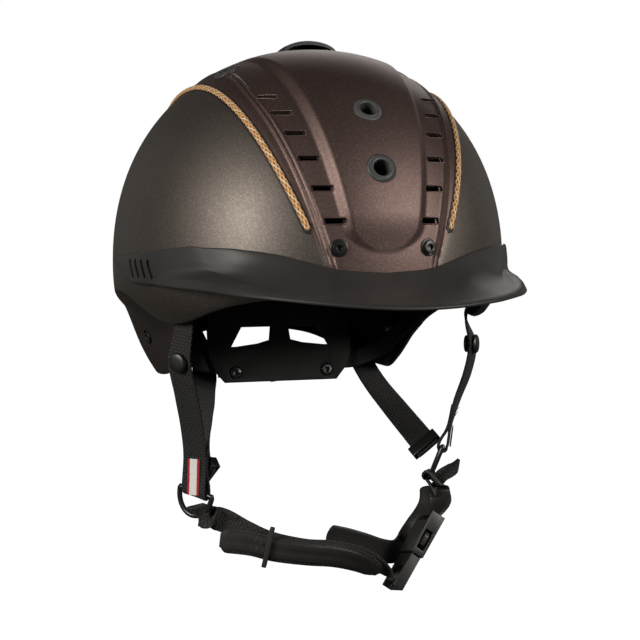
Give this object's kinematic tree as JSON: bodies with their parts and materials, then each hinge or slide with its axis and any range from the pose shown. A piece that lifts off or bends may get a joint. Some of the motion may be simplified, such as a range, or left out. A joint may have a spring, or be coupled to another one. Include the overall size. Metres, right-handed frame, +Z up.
{
  "type": "riding helmet",
  "caption": "Riding helmet with a raised vented centre panel, short peak, dial-adjusted nape cradle and a padded strap harness with a side-release buckle.",
  "frame": {"origin": "middle of the head space, on the widest level of the shell", "axes": "+Z up, -Y the front where the peak points, +X the wearer's left"},
  "size_m": [0.2184, 0.3059, 0.3102],
  "materials": {
    "shell_paint": "satin metallic brown lacquer with fine flake",
    "panel_paint": "satin metallic plum brown lacquer",
    "piping": "braided cord in bronze and gold thread",
    "trim": "moulded, fine grain",
    "eyelet": "moulded, satin dark grey",
    "visor": "satin moulded, near black brown",
    "screw": "blackened, hexagon socket",
    "steel": "plain zinc plated",
    "foam": "black moulded bead foam",
    "padding": "brushed knit over foam",
    "cradle": "flexible moulded plastic",
    "gear": "moulded, plain",
    "webbing": "flat ribbed polyester webbing",
    "buckle": "moulded, satin",
    "stripe": "woven tab, white with a red edge on each side",
    "leather": "soft black synthetic leather, stitched"
  },
  "bodies": {
    "helmet": {"outer_shell": "shell_paint", "centre_panel": "panel_paint", "left_piping": "piping", "right_piping": "piping", "top_scoop": "trim", "lower_front_eyelet": "eyelet", "upper_front_eyelet": "eyelet", "left_crown_eyelet": "eyelet", "right_crown_eyelet": "eyelet", "visor": "visor", "visor_screws": "screw", "visor_nuts": "steel", "neck_guard": "shell_paint", "neck_guard_screws": "screw", "neck_guard_nuts": "steel", "foam_liner": "foam", "brow_pad": "padding", "crown_pad": "padding", "left_side_pad": "padding", "right_side_pad": "padding", "left_pivot": "eyelet", "right_pivot": "eyelet", "front_anchors": "cradle", "rear_anchors": "cradle", "left_front_strap": "webbing", "right_front_strap": "webbing", "left_rear_strap": "webbing", "right_rear_strap": "webbing", "left_stud": "eyelet", "right_stud": "eyelet", "left_divider": "buckle", "right_divider": "buckle", "left_slider": "buckle", "right_slider": "buckle", "left_stripe_tab": "stripe", "right_stripe_tab": "stripe", "chin_strap": "webbing", "chin_sleeve": "leather", "buckle_socket": "buckle", "socket_strap": "leather", "buckle_guard": "leather", "strap_tip": "webbing"},
    "cradle": {"nape_cradle": "cradle", "cradle_screws": "screw", "left_band": "cradle", "right_band": "cradle", "dial_housing": "cradle"},
    "dial": {"dial_knob": "trim", "dial_pinion": "gear"},
    "left_rack": {"left_rack": "gear"},
    "right_rack": {"right_rack": "gear"},
    "plug": {"buckle_plug": "buckle"},
    "left_prong": {"left_prong": "buckle"},
    "right_prong": {"right_prong": "buckle"},
    "keeper": {"keeper_ring": "buckle"}
  },
  "joints": [
    {"name": "cradle_tilt", "type": "hinge", "parent": "helmet", "child": "cradle", "pos_m": [0, -0.018, -0.008], "axis": [1, 0, 0], "range_deg": [0, 6]},
    {"name": "dial_turn", "type": "hinge", "parent": "cradle", "child": "dial", "pos_m": [0, 0.04506, -0.06115], "axis": [0, 0.9903, -0.1392], "range_deg": [-45, 45]},
    {"name": "left_rack_slide", "type": "slide", "parent": "cradle", "child": "left_rack", "axis": [-1, 0, 0], "range_m": [-0.004, 0.004], "deforming": ["left_band"]},
    {"name": "right_rack_slide", "type": "slide", "parent": "cradle", "child": "right_rack", "axis": [1, 0, 0], "range_m": [-0.004, 0.004], "deforming": ["right_band"]},
    {"name": "buckle_release", "type": "slide", "parent": "helmet", "child": "plug", "axis": [-0.5842, -0.1432, -0.7989], "range_m": [0, 0.022], "deforming": ["chin_strap", "chin_sleeve"]},
    {"name": "left_prong_squeeze", "type": "hinge", "parent": "plug", "child": "left_prong", "pos_m": [0.04767, -0.05111, -0.16246], "axis": [0.8085, -0.1894, -0.5572], "range_deg": [-9.6, 0]},
    {"name": "right_prong_squeeze", "type": "hinge", "parent": "plug", "child": "right_prong", "pos_m": [0.04853, -0.03945, -0.16518], "axis": [0.8085, -0.1894, -0.5572], "range_deg": [0, 9.6]},
    {"name": "keeper_slide", "type": "slide", "parent": "helmet", "child": "keeper", "axis": [0.909, -0.3557, -0.2174], "range_m": [-0.004, 0.004]}
  ],
  "couplings": [
    {"joint": "left_rack_slide", "follows": "dial_turn", "m_per_rad": 0.005},
    {"joint": "right_rack_slide", "follows": "dial_turn", "m_per_rad": 0.005},
    {"joint": "left_prong_squeeze", "follows": "buckle_release", "rad_per_m": -7.5},
    {"joint": "right_prong_squeeze", "follows": "buckle_release", "rad_per_m": 7.5}
  ]
}
